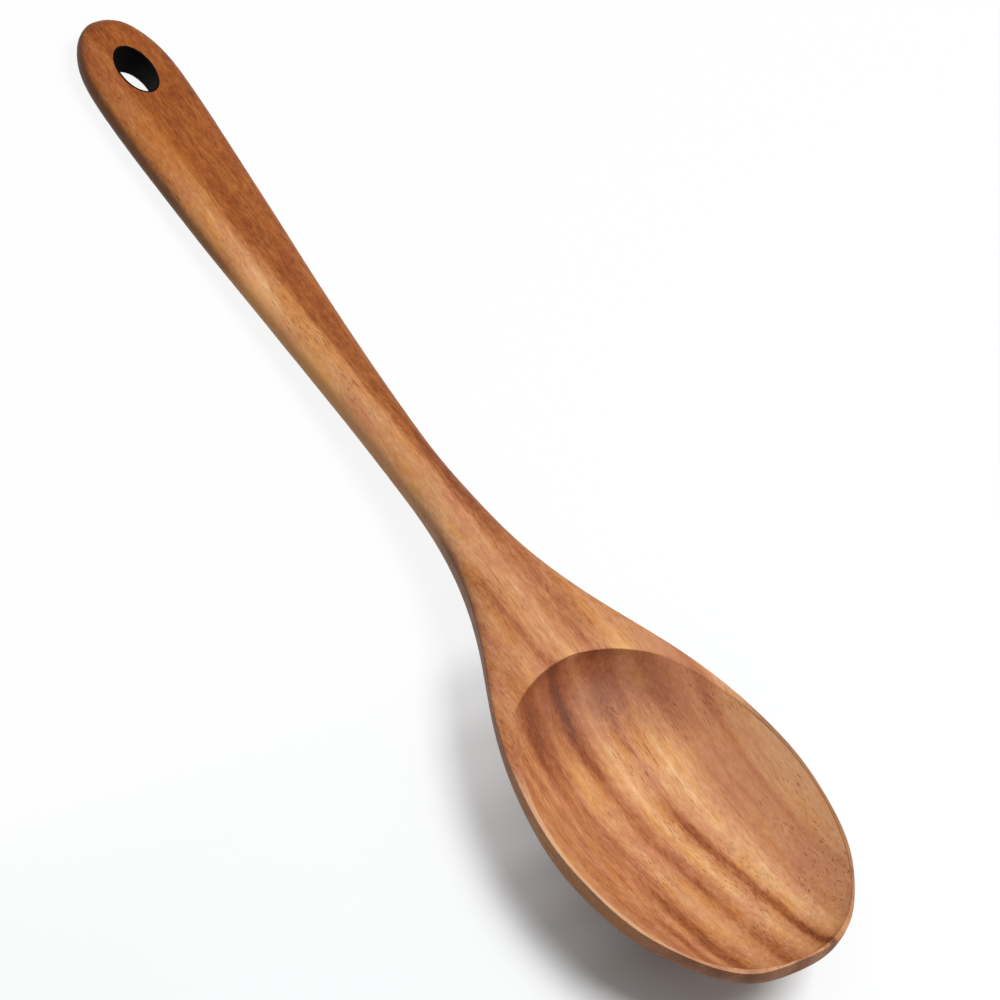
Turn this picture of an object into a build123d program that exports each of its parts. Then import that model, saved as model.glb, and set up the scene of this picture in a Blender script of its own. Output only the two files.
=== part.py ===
from build123d import *
import os

# A hardwood cooking spoon, carved from one board, with a lined hanging hole near the handle's end.
# It is drawn level first: X runs from the handle's end to the bowl's tip, Y across, and
# Z = 0 is the plane of the bowl's rim. At the end it is laid down as it rests on a table.

# Lengths along the spoon
end_length = 28.0
handle_length = 162.0
flare_length = 112.0
tip_length = 46.0
hollow_start = 228.2

# Widths, and thicknesses above and below the middle line
handle_width = 25.2
neck_width = 12.8
bowl_width = 65.2
handle_above = 4.4
handle_below = 4.0
neck_above = 4.7
neck_below = 5.8
bowl_depth = 20.0
rim_crown = 0.3

# The handle's end curves up from the rim plane, and the neck dips below it
handle_rise = 4.5
neck_drop = 2.7
neck_blend_length = 85.0
rest_tilt = -4.62

# The hollow of the bowl, and the narrow land of the rim around it
hollow_depth = 12.0
rim_land = 0.5

# The hanging hole and its lining
hole_from_end = 21.0
hole_length = 17.2
hole_width = 9.7
liner_wall = 0.5
cut_overrun = 6.0

# Roundness of a section: how far its handles reach towards the corner of its box
end_fullness_share = 0.77
neck_fullness_share = 0.62
tip_fullness_share = 0.8
side_crease_share = 0.03

# Roundness of the hollow's section: how far its handles reach sideways and down
wall_reach_share = 0.82
floor_reach_share = 0.55
wall_drop_share = 0.42

# Sections of the rounded end: place, width and thickness, as shares of
# end_length, handle_width and the handle's thickness
end_shares = (
    (0.00, 0.10, 0.26),
    (0.012, 0.19, 0.40),
    (0.045, 0.345, 0.62),
    (0.11, 0.52, 0.82),
    (0.22, 0.69, 0.94),
    (0.38, 0.845, 0.99),
    (0.56, 0.945, 1.00),
    (0.77, 0.99, 1.00),
    (1.00, 1.00, 1.00),
)
# Sections of the tapering handle: place along the taper, and share of the step from neck to end width
taper_shares = (
    (0.125, 0.93),
    (0.25, 0.80),
    (0.375, 0.655),
    (0.50, 0.47),
    (0.625, 0.305),
    (0.75, 0.155),
    (0.875, 0.04),
    (1.00, 0.00),
)
# Sections of the flare: place, and shares of the steps from neck to bowl width and depth
flare_shares = (
    (0.125, 0.017, 0.08),
    (0.25, 0.075, 0.26),
    (0.375, 0.208, 0.48),
    (0.50, 0.415, 0.69),
    (0.625, 0.655, 0.86),
    (0.75, 0.845, 0.96),
    (0.875, 0.96, 1.00),
    (1.00, 1.00, 0.98),
)
# Sections of the tip: place, and shares of the bowl's width and depth
tip_shares = (
    (0.22, 0.972, 0.91),
    (0.41, 0.92, 0.81),
    (0.565, 0.845, 0.69),
    (0.695, 0.745, 0.57),
    (0.805, 0.635, 0.475),
    (0.89, 0.525, 0.40),
    (0.955, 0.395, 0.32),
    (0.99, 0.24, 0.24),
    (1.00, 0.10, 0.19),
)
# Sections of the hollow: place along it, and shares of its width and depth
hollow_shares = (
    (0.000, 0.05, 0.05),
    (0.007, 0.16, 0.15),
    (0.020, 0.30, 0.33),
    (0.048, 0.48, 0.54),
    (0.097, 0.65, 0.74),
    (0.185, 0.81, 0.92),
    (0.330, 0.95, 1.00),
    (0.505, 1.00, 0.98),
    (0.680, 0.94, 0.85),
    (0.825, 0.79, 0.66),
    (0.925, 0.58, 0.46),
    (0.980, 0.34, 0.28),
    (1.000, 0.12, 0.12),
)

spoon_length = handle_length + flare_length + tip_length
taper_length = handle_length - end_length


def blend(share):
    return share * share * (3 - 2 * share)


def middle_height(place):
    if place < handle_length:
        left_share = 1 - place / handle_length
        return (handle_rise + neck_drop) * left_share**2 - neck_drop
    left_share = max(0, 1 - (place - handle_length) / neck_blend_length)
    return -neck_drop * left_share**2


def height_above(place):
    flare_share = (place - handle_length) / flare_length
    return rim_crown + (neck_above - rim_crown) * (1 - blend(min(1, flare_share)))


def section(place, width, above, below):
    fullness_share = end_fullness_share + (neck_fullness_share - end_fullness_share) * blend(
        min(1, place / handle_length)
    )
    tip_share = max(0, (place - handle_length - flare_length) / tip_length)
    low_share = fullness_share + (tip_fullness_share - fullness_share) * tip_share**4
    side = width / 2
    shoulder = fullness_share * side
    low_shoulder = low_share * side
    middle = middle_height(place)
    top = middle + above
    bottom = middle - below
    high = middle + fullness_share * above
    low = middle - low_share * below
    side_above = side - side_crease_share * above
    side_below = side - side_crease_share * below
    with BuildSketch(Plane.YZ.offset(place)) as outline:
        with BuildLine():
            Bezier((side, middle), (side_above, high), (shoulder, top), (0, top))
            Bezier((0, top), (-shoulder, top), (-side_above, high), (-side, middle))
            Bezier((-side, middle), (-side_below, low), (-low_shoulder, bottom), (0, bottom))
            Bezier((0, bottom), (low_shoulder, bottom), (side_below, low), (side, middle))
        make_face()
    return outline.sketch


# Sections of the whole spoon, from the handle's end to the tip of the bowl
sections = []
for place_share, width_share, thick_share in end_shares:
    above = handle_above * thick_share
    below = handle_below * thick_share
    sections.append(section(end_length * place_share, handle_width * width_share, above, below))
for place_share, step_share in taper_shares:
    width = neck_width + (handle_width - neck_width) * step_share
    above = handle_above + (neck_above - handle_above) * blend(place_share)
    below = handle_below + (neck_below - handle_below) * blend(place_share)
    sections.append(section(end_length + taper_length * place_share, width, above, below))
for place_share, width_share, depth_share in flare_shares:
    width = neck_width + (bowl_width - neck_width) * width_share
    place = handle_length + flare_length * place_share
    below = neck_below + (bowl_depth - neck_below) * depth_share
    sections.append(section(place, width, height_above(place), below))
for place_share, width_share, depth_share in tip_shares:
    place = handle_length + flare_length + tip_length * place_share
    sections.append(section(place, bowl_width * width_share, rim_crown, bowl_depth * depth_share))

# The blank: the spoon's outer form
with BuildPart() as blank:
    loft(sections=sections)

# The hollow's cutter, a shallow oval dish whose wall leans outward above the rim
hollow_length = spoon_length - rim_land - hollow_start
hollow_half = bowl_width / 2 - rim_land
hollow_sections = []
for place_share, width_share, depth_share in hollow_shares:
    place = hollow_start + hollow_length * place_share
    edge = height_above(place)
    top = edge + cut_overrun
    floor = edge - hollow_depth * depth_share
    flank = edge - wall_drop_share * (edge - floor)
    half = hollow_half * width_share
    wall = wall_reach_share * half
    flat = floor_reach_share * half
    wide = half + cut_overrun / 2
    with BuildSketch(Plane.YZ.offset(place)) as dish:
        with BuildLine():
            Bezier((-half, edge), (-wall, flank), (-flat, floor), (0, floor))
            Bezier((0, floor), (flat, floor), (wall, flank), (half, edge))
            Polyline((half, edge), (wide, top), (-wide, top), (-half, edge))
        make_face()
    hollow_sections.append(dish.sketch)
with BuildPart() as hollow:
    loft(sections=hollow_sections)

# The spoon's wood: the blank with its hollow and its hanging hole
middle_plane = Plane.XY.offset(middle_height(hole_from_end))
with BuildPart() as spoon_body:
    add(blank.part)
    add(hollow.part, mode=Mode.SUBTRACT)
    with BuildSketch(middle_plane):
        with Locations((hole_from_end, 0)):
            Ellipse(hole_length / 2, hole_width / 2)
    extrude(amount=handle_above + cut_overrun, both=True, mode=Mode.SUBTRACT)

# The black lining of the hole, as deep as the handle is thick there
with BuildPart() as hanging_hole_liner:
    with BuildSketch(middle_plane):
        with Locations((hole_from_end, 0)):
            Ellipse(hole_length / 2, hole_width / 2)
            Ellipse(hole_length / 2 - liner_wall, hole_width / 2 - liner_wall, mode=Mode.SUBTRACT)
    extrude(amount=handle_above + cut_overrun, both=True)
    add(blank.part, mode=Mode.INTERSECT)

# Laid down: the handle's end tilts down to the table, and the lowest points touch Z = 0
tilted_box = blank.part.rotate(Axis.Y, rest_tilt).bounding_box()
lying = Location((-tilted_box.center().X, 0, -tilted_box.min.Z), (0, rest_tilt, 0))
spoon_body.part.move(lying)
hanging_hole_liner.part.move(lying)
print("length, width and height:", tilted_box.size)

os.makedirs("parts", exist_ok=True)
spoon_body.part.label = "spoon_body"
hanging_hole_liner.part.label = "hanging_hole_liner"
export_step(spoon_body.part, "parts/spoon_body.step")
export_step(hanging_hole_liner.part, "parts/hanging_hole_liner.step")
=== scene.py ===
import math

import bmesh
import bpy
from mathutils import Matrix, Vector


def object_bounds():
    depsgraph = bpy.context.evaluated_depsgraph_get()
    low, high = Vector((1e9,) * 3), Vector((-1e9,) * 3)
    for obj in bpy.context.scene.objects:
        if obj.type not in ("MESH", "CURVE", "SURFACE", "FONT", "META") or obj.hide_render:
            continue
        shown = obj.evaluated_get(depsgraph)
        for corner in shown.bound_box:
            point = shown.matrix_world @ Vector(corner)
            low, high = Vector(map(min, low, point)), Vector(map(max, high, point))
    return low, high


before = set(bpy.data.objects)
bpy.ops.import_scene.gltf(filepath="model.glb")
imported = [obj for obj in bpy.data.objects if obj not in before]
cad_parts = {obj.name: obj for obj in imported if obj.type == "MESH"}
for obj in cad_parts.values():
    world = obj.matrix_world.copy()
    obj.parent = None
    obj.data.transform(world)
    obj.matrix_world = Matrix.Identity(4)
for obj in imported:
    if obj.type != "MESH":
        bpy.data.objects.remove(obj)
solid_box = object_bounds()


# The spoon's wood: one carved piece of oiled hardwood, handle, neck and bowl
# together. It was shaped, hollowed and sanded smooth along the grain, so the
# layers of the board run unbroken through it and show as stripes.
MM = 0.001


def new_material(name):
    """A material with an empty node tree."""
    made = bpy.data.materials.new(name)
    made.use_nodes = True
    made.node_tree.nodes.clear()
    return made


def connect(tree, made, slot, value):
    """Links a socket to a node's input, or sets the input to a plain value."""
    if isinstance(value, bpy.types.NodeSocket):
        tree.links.new(value, made.inputs[slot])
    else:
        made.inputs[slot].default_value = value


def node(tree, kind, inputs=(), **settings):
    """Adds one shader node, with its settings and its inputs by name or number."""
    made = tree.nodes.new(kind)
    for name, value in settings.items():
        setattr(made, name, value)
    for slot, value in dict(inputs).items():
        connect(tree, made, slot, value)
    return made


def maths(tree, operation, first, second=0.0, third=0.0):
    """The result of one Math node."""
    return node(tree, "ShaderNodeMath", {0: first, 1: second, 2: third}, operation=operation).outputs[0]


def product(tree, first, *others):
    """Several values multiplied together."""
    for other in others:
        first = maths(tree, "MULTIPLY", first, other)
    return first


def fade_in(tree, value, low, high, bottom=0.0, top=1.0):
    """Eases from bottom to top while value goes from low to high."""
    values = {"Value": value, "From Min": low, "From Max": high, "To Min": bottom, "To Max": top}
    return node(tree, "ShaderNodeMapRange", values, interpolation_type="SMOOTHSTEP").outputs["Result"]


def fade_out(tree, value, low, high, top=1.0, bottom=0.0):
    """Eases from top to bottom while value goes from low to high."""
    return fade_in(tree, value, low, high, top, bottom)


def place_in_mm(tree):
    """Where a point lies on its own object, in millimetres."""
    values = {0: node(tree, "ShaderNodeTexCoord").outputs["Object"], "Scale": 1 / MM}
    return node(tree, "ShaderNodeVectorMath", values, operation="SCALE").outputs["Vector"]


def fibres(tree, place, length, width, detail=2.0):
    """Noise drawn out along the spoon, with lumps about this long and wide, in millimetres."""
    scale = (1 / length, 1 / width, 1 / width)
    drawn = node(tree, "ShaderNodeMapping", {"Vector": place, "Scale": scale})
    values = {"Vector": drawn.outputs["Vector"], "Scale": 1.0, "Detail": detail, "Roughness": 0.6}
    return node(tree, "ShaderNodeTexNoise", values).outputs["Fac"]


def swing(tree, noise, amount):
    """Noise centred on zero, times an amount."""
    return maths(tree, "MULTIPLY_ADD", noise, amount, -amount / 2)


def mix(tree, share, first, second, blend="MIX"):
    """Two colours mixed by a share."""
    made = node(tree, "ShaderNodeMix", data_type="RGBA", blend_type=blend)
    for slot, value in ((0, share), (6, first), (7, second)):
        connect(tree, made, slot, value)
    return made.outputs[2]


def paint(red, green, blue):
    """A colour as it is seen on a screen, from 0 to 255, as the shader wants it."""
    shares = [value / 255 for value in (red, green, blue)]
    return tuple(s / 12.92 if s < 0.04045 else ((s + 0.055) / 1.055) ** 2.4 for s in shares) + (1,)


def grey(tone):
    """A tone from 0 to 1 as a colour."""
    return (tone, tone, tone, 1)


def ramp(tree, value, stops, easing="EASE"):
    """A colour ramp through (place from 0 to 1, colour) stops."""
    made = node(tree, "ShaderNodeValToRGB", {"Fac": value})
    made.color_ramp.interpolation = easing
    elements = made.color_ramp.elements
    elements.remove(elements[1])
    for count, (spot, colour) in enumerate(stops):
        stop = elements[0] if count == 0 else elements.new(spot)
        stop.position = spot
        stop.color = colour
    return made.outputs["Color"]


def bands(tree, spot, marks):
    """A tone that changes with a place, through (place in millimetres, tone) marks."""
    low, high = marks[0][0], marks[-1][0]
    span = {"Value": spot, "From Min": low, "From Max": high}
    share = node(tree, "ShaderNodeMapRange", span).outputs["Result"]
    return ramp(tree, share, [((mark - low) / (high - low), grey(tone)) for mark, tone in marks])


def finish_material(tree, inputs):
    """Ends a material with its main shader, given that shader's inputs."""
    shader = node(tree, "ShaderNodeBsdfPrincipled", inputs)
    node(tree, "ShaderNodeOutputMaterial", {"Surface": shader.outputs["BSDF"]})


def dress(thing, material):
    """Gives a piece its only material."""
    thing.data.materials.clear()
    thing.data.materials.append(material)


# All places on the spoon are in millimetres: along it from the handle's end to
# the tip, sideways from its middle line with the near side below zero, and up
# from the table. A pair of numbers says where a fade begins and where it ends
handle_end, tip = (round(corner[0] / MM) for corner in solid_box)
wood = new_material("oiled_hardwood")
wood_tree = wood.node_tree
place = place_in_mm(wood_tree)
apart = node(wood_tree, "ShaderNodeSeparateXYZ", {"Vector": place})
along, sideways, height = apart.outputs["X"], apart.outputs["Y"], apart.outputs["Z"]
facing = node(wood_tree, "ShaderNodeNewGeometry").outputs["Normal"]
facing_up = node(wood_tree, "ShaderNodeSeparateXYZ", {"Vector": facing}).outputs["Z"]

# The layers wander a little from side to side. In the bowl they also turn a
# little towards one side, and they cross the handle at a slant
wander_reach, ripple_reach = 2.2, 2.4
turn_along, turn_sideways = (92, 158), (7, 18)
turn_reach = 5.2
slant_along = (-140, 10)
slant_from, slant_to = -4.2, 1.4
wander = swing(wood_tree, fibres(wood_tree, place, length=60, width=16, detail=1.0), wander_reach)
ripple = swing(wood_tree, fibres(wood_tree, place, length=12, width=3, detail=3.0), ripple_reach)
across = maths(wood_tree, "ADD", sideways, maths(wood_tree, "ADD", wander, ripple))
turning = product(
    wood_tree,
    fade_in(wood_tree, along, *turn_along, 0.0, turn_reach),
    fade_out(wood_tree, sideways, *turn_sideways),
)
across_bowl = maths(wood_tree, "SUBTRACT", across, turning)
slanting = fade_in(wood_tree, along, *slant_along, slant_from, slant_to)
across_handle = maths(wood_tree, "SUBTRACT", across, slanting)

# Broad bands of tone, from the near side to the far one. The handle has a pale
# and a dark side, which even out towards its end
handle_bands = (
    (-12, 0.56), (-7, 0.66), (-4.5, 0.70), (-1.6, 0.64), (0, 0.38),
    (1.8, 0.30), (4.5, 0.34), (8, 0.38), (14, 0.38),
)
neck_bands = (
    (-20, 0.46), (-14, 0.56), (-11, 0.62), (-8, 0.48), (-4, 0.68), (-1, 0.68),
    (2, 0.54), (5, 0.47), (8, 0.50), (11, 0.64), (20, 0.60),
)
# Towards the far rim the bowl's bands are paler, partly painted light on the far wall, which the lamp only
# grazes
bowl_bands = (
    (-33, 0.64), (-30, 0.58), (-28, 0.48), (-24, 0.56), (-21, 0.58), (-17, 0.46), (-15, 0.50), (-11, 0.72),
    (-8.5, 0.66), (-6, 0.48), (-4, 0.54), (-2, 0.70), (0, 0.86), (2, 0.70), (4.5, 0.58), (7.5, 0.74),
    (10.5, 0.88), (13.5, 0.80), (16, 0.66), (20, 0.70), (23, 0.70), (26, 0.84), (33, 0.96),
)
end_tone, end_share = grey(0.30), 0.75
end_along, neck_along, bowl_along = (-155, -80), (8, 50), (58, 74)
handle_tone = bands(wood_tree, across_handle, handle_bands)
handle_tone = mix(wood_tree, fade_out(wood_tree, along, *end_along, end_share), handle_tone, end_tone)
neck_tone = bands(wood_tree, across, neck_bands)
bowl_tone = bands(wood_tree, across_bowl, bowl_bands)
tone = mix(wood_tree, fade_in(wood_tree, along, *neck_along), handle_tone, neck_tone)
tone = mix(wood_tree, fade_in(wood_tree, along, *bowl_along), tone, bowl_tone)
tone = node(wood_tree, "ShaderNodeSeparateColor", {"Color": tone}).outputs[0]

# Single streaks: start and end along the spoon, place across it, half their
# width, and how much paler or darker they are. Their ends and sides are soft
past_tip = tip + 10
streaks = (
    (-90, -50, -6.8, 2.6, 0.14),
    # The next two streaks are partly pale wood and partly painted light, lifting the shaded near side of
    # the handle and neck
    (-72, 12, -9.4, 4.0, 0.36),
    (-40, 38, -6.8, 2.8, 0.20),
    (-10, 34, 3.6, 1.6, -0.06),
    (40, 72, -7.6, 0.8, -0.06),
    (66, 84, 8.0, 3.0, -0.12),
    (66, 94, 24.6, 2.2, -0.30),
    (66, 100, -6.2, 2.2, -0.20),
    (76, 94, 20.5, 4.0, -0.04),
    (78, 96, -17.0, 2.2, -0.12),
    (84, 98, -23.4, 1.6, -0.18),
    (86, 156, 24.3, 1.3, -0.16),
    (94, 126, -22.2, 1.0, -0.10),
    (96, 124, 20.3, 0.7, -0.12),
    (98, 150, 17.4, 0.9, -0.10),
    (104, past_tip, 4.4, 2.1, -0.26),
    (112, past_tip, -6.0, 1.8, -0.08),
    (124, past_tip, -17.0, 2.4, -0.16),
    (132, past_tip, -22.8, 2.0, -0.20),
    (146, past_tip, 0.0, 16.0, -0.13),
)
ease_outside, ease_inside = 5, 9
core_share, reach_share = 0.15, 1.2
for start, end, spot, half_width, strength in streaks:
    off = maths(wood_tree, "ABSOLUTE", maths(wood_tree, "SUBTRACT", across_bowl, spot))
    body = fade_out(wood_tree, off, half_width * core_share, half_width * reach_share, strength)
    begins = fade_in(wood_tree, along, start - ease_outside, start + ease_inside)
    ends = fade_out(wood_tree, along, end - ease_inside, end + ease_outside)
    tone = maths(wood_tree, "ADD", tone, product(wood_tree, begins, ends, body))

# Where the hollow is cut steeply at the neck, just inside its curved edge, the wood is darker and
# runs out in fingers: partly a dark layer of the board shown end on, partly painted shade on the steep
# wall
edge_start, edge_softness = 67.9, 0.3
edge_curve = 50.8
finger_along, finger_reach = (70, 94), 14
dark_wall_sides, dark_wall_tilt = (15, 24), (0.0, 0.2)
layer_and_shade_darkness = 0.26
bend = maths(wood_tree, "DIVIDE", maths(wood_tree, "POWER", sideways, 2.0), edge_curve)
from_edge = maths(wood_tree, "SUBTRACT", along, bend)
fingers = swing(wood_tree, fibres(wood_tree, place, length=40, width=2.6), finger_reach)
dark_layer_and_shade = product(
    wood_tree,
    fade_out(wood_tree, maths(wood_tree, "ADD", from_edge, fingers), *finger_along),
    fade_in(wood_tree, from_edge, edge_start - edge_softness, edge_start + edge_softness),
    fade_out(wood_tree, maths(wood_tree, "ABSOLUTE", sideways), *dark_wall_sides),
    fade_in(wood_tree, facing_up, *dark_wall_tilt),
)
tone = maths(wood_tree, "MULTIPLY_ADD", dark_layer_and_shade, -layer_and_shade_darkness, tone)

# Thin growth lines that slope through the board, clouds, a light cross figure,
# fine fibres and flecks, each with how much it sways the tone
board_slope = 0.25
sloped = maths(wood_tree, "MULTIPLY_ADD", height, board_slope, across_bowl)
board = node(wood_tree, "ShaderNodeCombineXYZ", {"X": along, "Y": sloped}).outputs["Vector"]
growth_lines = fibres(wood_tree, board, length=55, width=1.5)
clouds = fibres(wood_tree, place, length=20, width=7, detail=3.0)
figure = fibres(wood_tree, place, length=3.6, width=2.0, detail=3.0)
fine = fibres(wood_tree, place, length=6, width=0.5, detail=3.0)
flecks = fibres(wood_tree, place, length=1.9, width=0.6)
for noise, sway in ((growth_lines, 0.26), (clouds, 0.24), (figure, 0.28), (fine, 0.36), (flecks, 0.34)):
    tone = maths(wood_tree, "ADD", tone, swing(wood_tree, noise, sway))

wood_colours = (
    (0.00, paint(88, 44, 22)),
    (0.15, paint(120, 62, 31)),
    (0.30, paint(154, 87, 46)),
    (0.45, paint(180, 113, 69)),
    (0.60, paint(200, 136, 90)),
    (0.75, paint(216, 156, 107)),
    (0.90, paint(232, 178, 126)),
    (1.00, paint(241, 192, 141)),
)
colour = ramp(wood_tree, tone, wood_colours, "LINEAR")

# Some layers are golden and some mauve. The handle is redder towards its end
# and warmer on its dark side, and the near edge of its middle has a warm tint of painted light
golden_hues, mauve_hues, hue_share = (0.50, 0.66), (0.34, 0.50), 0.8
redder_along = (handle_end, 10)
warmer_along, warmer_across = (-30, 30), (-3, 1)
warm_light_start, warm_light_end, warm_light_across = (-85, -60), (0, 20), (-8, -4)
hue = fibres(wood_tree, place, length=26, width=4)
golden = fade_in(wood_tree, hue, *golden_hues, 0.0, hue_share)
mauve = fade_out(wood_tree, hue, *mauve_hues, hue_share)
redder = fade_out(wood_tree, along, *redder_along)
warmer = product(
    wood_tree,
    fade_out(wood_tree, along, *warmer_along),
    fade_in(wood_tree, across_handle, *warmer_across),
)
painted_warm_light = product(
    wood_tree,
    fade_in(wood_tree, along, *warm_light_start),
    fade_out(wood_tree, along, *warm_light_end),
    fade_out(wood_tree, across_handle, *warm_light_across),
)
tints = (
    (golden, paint(255, 246, 214)),
    (mauve, paint(246, 232, 244)),
    (redder, paint(255, 239, 198)),
    (warmer, paint(255, 250, 216)),
    (painted_warm_light, paint(255, 235, 215)),
)
for share, tint in tints:
    colour = mix(wood_tree, share, colour, tint, "MULTIPLY")

# The far side of the bowl is pinker
pinker_across, pinker_along, pinker_share = (13, 19), (60, 80), 0.4
pinker = product(
    wood_tree,
    fade_in(wood_tree, across, *pinker_across, 0.0, pinker_share),
    fade_in(wood_tree, along, *pinker_along),
)

# Open pores: short dark dashes along the grain, in loose groups
dash_cut, group_cut = (0.60, 0.70), (0.46, 0.60)
dashes = fade_in(wood_tree, fibres(wood_tree, place, length=3.4, width=0.42, detail=1.0), *dash_cut)
groups = fade_in(wood_tree, fibres(wood_tree, place, length=26, width=9, detail=1.0), *group_cut)
pores = product(wood_tree, dashes, groups)

# Painted shade darkens the steep sides in places along the spoon, and reaches
# further up the side at the handle's end
side_marks = (
    (handle_end, 0.72), (-100, 0.66), (-84, 0.44), (-64, 0.0), (18, 0.0), (30, 0.50),
    (74, 0.36), (94, 0.0), (138, 0.0), (150, 0.26), (tip, 0.36),
)
side_tilt = (0.20, 0.62)
further_along, further_by = (-110, -75), 0.28
further_up = fade_out(wood_tree, along, *further_along, further_by)
flatness = maths(wood_tree, "SUBTRACT", maths(wood_tree, "ABSOLUTE", facing_up), further_up)
painted_side_shade = product(
    wood_tree,
    fade_out(wood_tree, flatness, *side_tilt),
    bands(wood_tree, along, side_marks),
)

# The rim of the bowl has a painted highlight on the near side and painted shade
# on the far one. Its plane rises a little towards the tip
rim_slope = 0.0808
rim_heights = (12.3, 12.45)
rim_start, rim_end, rim_end_share = (88, 102), (128, 154), 0.45
rim_strength = 0.6
rim_shade_across = (-8, 12)
rim_painted_highlight, rim_painted_shade = paint(228, 182, 144), paint(104, 62, 36)
rim_light_line = product(
    wood_tree,
    fade_in(wood_tree, maths(wood_tree, "MULTIPLY_ADD", along, -rim_slope, height), *rim_heights),
    fade_in(wood_tree, along, *rim_start),
    fade_out(wood_tree, along, *rim_end, 1.0, rim_end_share),
    rim_strength,
)
rim_light_and_shade = mix(wood_tree, fade_in(wood_tree, sideways, *rim_shade_across), rim_painted_highlight, rim_painted_shade)

# These colours cover the wood in turn
layer_and_shade_share, pore_share = 0.5, 0.5
covers = (
    (pinker, paint(186, 124, 96)),
    (product(wood_tree, dark_layer_and_shade, layer_and_shade_share), paint(128, 74, 54)),
    (product(wood_tree, pores, pore_share), paint(96, 50, 27)),
    (painted_side_shade, paint(84, 52, 38)),
    (rim_light_line, rim_light_and_shade),
)
for share, cover in covers:
    colour = mix(wood_tree, share, colour, cover)

# A satin finish, rougher on the pale fibres, which stand up a little, with the
# pores sunk between them
fibre_relief, fibre_depth = 0.6, 0.15 * MM
smoothest, roughness_span = 0.42, 0.25
relief = maths(wood_tree, "SUBTRACT", product(wood_tree, fine, fibre_relief), pores)
relief_bump = {"Height": relief, "Strength": 0.35, "Distance": fibre_depth}
wood_bump = node(wood_tree, "ShaderNodeBump", relief_bump)
finish_material(wood_tree, {
    "Base Color": colour,
    "Roughness": maths(wood_tree, "MULTIPLY_ADD", fine, roughness_span, smoothest),
    "Specular IOR Level": 0.3,
    "Normal": wood_bump.outputs["Normal"],
})
dress(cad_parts["spoon_body"], wood)


# The lining of the hanging hole: a thin matt black wall, pressed into the
# oblong hole and dressed off flush with the wood on both sides.
matt_black, scuffed_black = paint(8, 4, 4), paint(20, 12, 11)
scuffs_per_mm, scuff_depth = 1.1, 0.1 * MM
colour_scuffs, rough_scuffs = (0.4, 0.7), (0.3, 0.7)
plain_roughness, scuffed_roughness = 0.7, 0.85
black = new_material("black_lining")
black_tree = black.node_tree
scuff_noise = {"Vector": place_in_mm(black_tree), "Scale": scuffs_per_mm, "Detail": 3.0}
scuffs = node(black_tree, "ShaderNodeTexNoise", scuff_noise).outputs["Fac"]
scuff_bump = {"Height": scuffs, "Strength": 0.3, "Distance": scuff_depth}
black_bump = node(black_tree, "ShaderNodeBump", scuff_bump)
finish_material(black_tree, {
    "Base Color": mix(black_tree, fade_in(black_tree, scuffs, *colour_scuffs), matt_black, scuffed_black),
    "Roughness": fade_in(black_tree, scuffs, *rough_scuffs, plain_roughness, scuffed_roughness),
    "Specular IOR Level": 0.08,
    "Normal": black_bump.outputs["Normal"],
})
dress(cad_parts["hanging_hole_liner"], black)


# The white table top that the spoon lies on. It shows as plain white and keeps
# the spoon's soft shadow, deep by the bowl and faint along the handle, and it
# throws little light back up, so that the spoon's sides stay dark.
table_half = 4.0
table_drop = 0.2 * MM
top = bmesh.new()
bmesh.ops.create_grid(top, x_segments=2, y_segments=2, size=table_half)
bmesh.ops.translate(top, verts=top.verts, vec=(0, 0, -table_drop))
table_mesh = bpy.data.meshes.new("table_top")
top.to_mesh(table_mesh)
top.free()
table = bpy.data.objects.new("table_top", table_mesh)
bpy.context.scene.collection.objects.link(table)

# Its own glow fills the shadow in: much along the handle, none under the bowl's
# tip, and much again far from the bowl
glow_marks = (
    (20, 0.90), (42, 0.88), (58, 0.60), (72, 0.44),
    (95, 0.27), (108, 0.14), (121, 0.06), (136, 0.0),
)
below_bowl = (100, -20, 0)
far_off, most_glow = (110, 240), 0.9
table_white = (0.94, 0.96, 0.97, 1)
white = new_material("white_table")
white_tree = white.node_tree
white_place = place_in_mm(white_tree)
table_along = node(white_tree, "ShaderNodeSeparateXYZ", {"Vector": white_place}).outputs["X"]
from_bowl = node(white_tree, "ShaderNodeVectorMath", {0: white_place, 1: below_bowl}, operation="DISTANCE")
far_glow = fade_in(white_tree, from_bowl.outputs["Value"], *far_off, 0.0, most_glow)
glow_share = maths(white_tree, "MAXIMUM", bands(white_tree, table_along, glow_marks), far_glow)
bright = node(white_tree, "ShaderNodeBsdfDiffuse", {"Color": table_white})
glow = node(white_tree, "ShaderNodeEmission", {"Strength": 1.0})
lit = node(white_tree, "ShaderNodeMixShader", {0: glow_share, 1: bright.outputs[0], 2: glow.outputs[0]})

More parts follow.
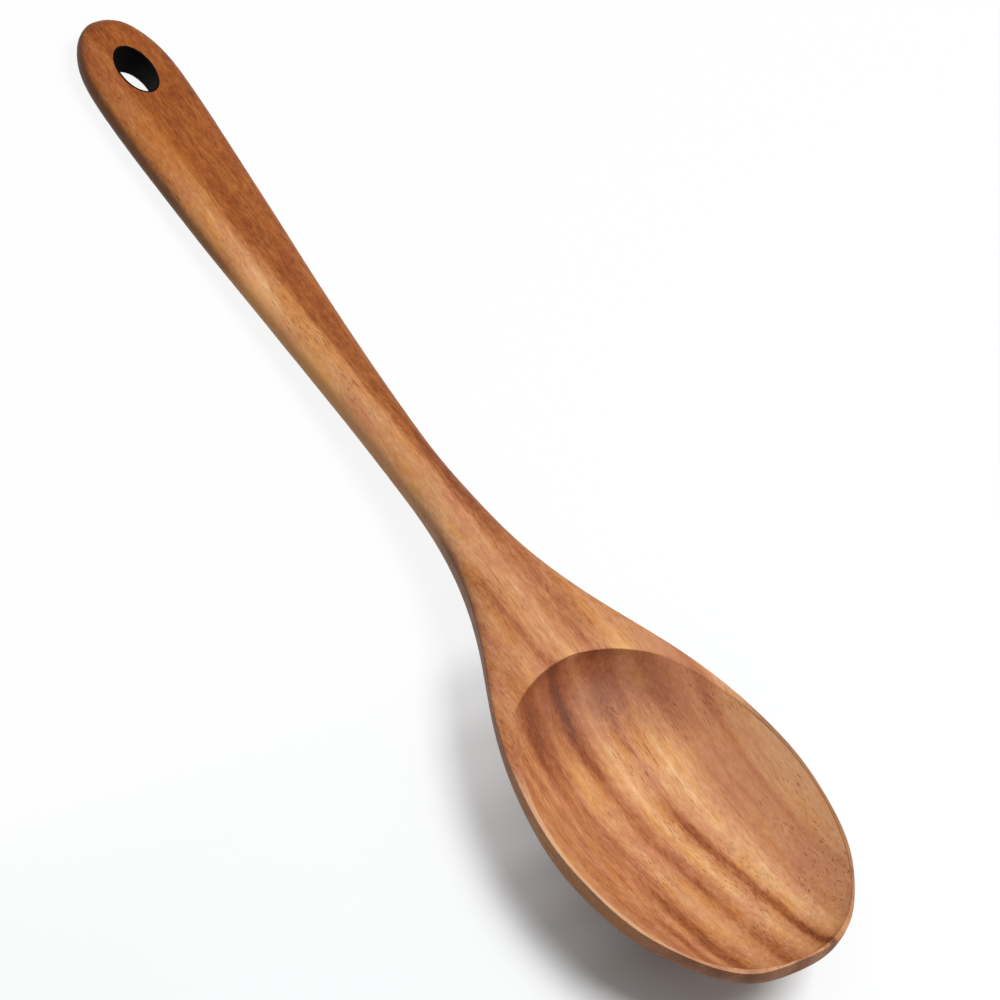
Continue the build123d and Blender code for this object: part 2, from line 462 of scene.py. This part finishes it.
# What the spoon gets back from the table is less than what the camera sees
table_grey = grey(0.25)
quiet = node(white_tree, "ShaderNodeBsdfDiffuse", {"Color": table_grey})
path = node(white_tree, "ShaderNodeLightPath").outputs
seen = maths(white_tree, "MAXIMUM", path["Is Camera Ray"], path["Is Glossy Ray"])
seen = maths(white_tree, "MAXIMUM", seen, path["Is Transmission Ray"])
shown = node(white_tree, "ShaderNodeMixShader", {0: seen, 1: quiet.outputs[0], 2: lit.outputs[0]})
node(white_tree, "ShaderNodeOutputMaterial", {"Surface": shown.outputs[0]})
dress(table, white)


# The studio: an even white room, and one large soft lamp above the spoon, a
# little to its far side, so that the near sides and the table beside them
# are in shadow.
room_light = 0.28
world = bpy.data.worlds.new("studio")
bpy.context.scene.world = world
world.use_nodes = True
room = world.node_tree.nodes["Background"]
room.inputs["Color"].default_value = grey(1)
room.inputs["Strength"].default_value = room_light

lamp_spot = Vector((0.33, 0.34, 1.2))
lamp_target = Vector((0.03, 0, 0))
lamp_size, lamp_watts = 0.62, 14.0
lamp_data = bpy.data.lights.new("soft_lamp", "AREA")
lamp_data.shape = "SQUARE"
lamp_data.size = lamp_size
lamp_data.energy = lamp_watts
lamp = bpy.data.objects.new("soft_lamp", lamp_data)
lamp.location = lamp_spot
lamp.rotation_euler = (lamp_target - lamp_spot).to_track_quat("-Z", "Y").to_euler()
bpy.context.scene.collection.objects.link(lamp)

# The camera looks down on the spoon from beside its bowl, with a long lens,
# turned so that the handle points to the picture's upper left
eye = Vector((436.939, -415.720, 686.165)) * MM
target = Vector((17.151, 13.946, 10.213)) * MM
camera_roll = math.radians(18.858)
focal_pixels = 3867.78
picture_pixels = 1000
camera_data = bpy.data.cameras.new("camera")
camera = bpy.data.objects.new("camera", camera_data)
bpy.context.scene.collection.objects.link(camera)
back = (eye - target).normalized()
level = Vector((-back.y, back.x, 0)).normalized()
upright = back.cross(level)
right = level * math.cos(camera_roll) + upright * math.sin(camera_roll)
up = back.cross(right)
camera.matrix_world = Matrix.Translation(eye) @ Matrix((right, up, back)).transposed().to_4x4()
camera_data.sensor_width = 36
camera_data.lens = focal_pixels * camera_data.sensor_width / picture_pixels
camera_data.clip_end = 20
bpy.context.scene.camera = camera

bpy.context.scene.view_settings.view_transform = "Standard"
